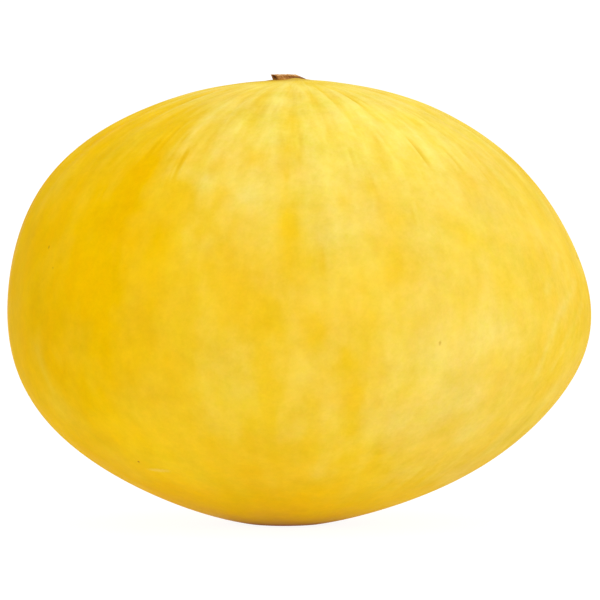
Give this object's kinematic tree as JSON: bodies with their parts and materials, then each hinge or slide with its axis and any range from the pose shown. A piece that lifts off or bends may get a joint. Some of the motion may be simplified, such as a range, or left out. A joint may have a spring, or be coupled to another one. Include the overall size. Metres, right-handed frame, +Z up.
{
  "type": "honeydew melon",
  "caption": "Whole yellow honeydew melon, wider than tall, with faint ribs from its stem end and a short trimmed stem, resting on a small flat spot.",
  "frame": {"origin": "on the resting surface, under the middle of the fruit's box", "axes": "+Z up, from the blossom end to the stem end; +X along the longer side, towards the more pointed end; +Y away from the front"},
  "size_m": [0.186, 0.172, 0.1432],
  "materials": {
    "rind": "waxy, between satin and gloss, golden yellow with paler patches",
    "dry_stem": "matt, dry, brown, fibrous"
  },
  "bodies": {
    "root": {"melon": "rind", "stem": "dry_stem"}
  },
  "joints": []
}
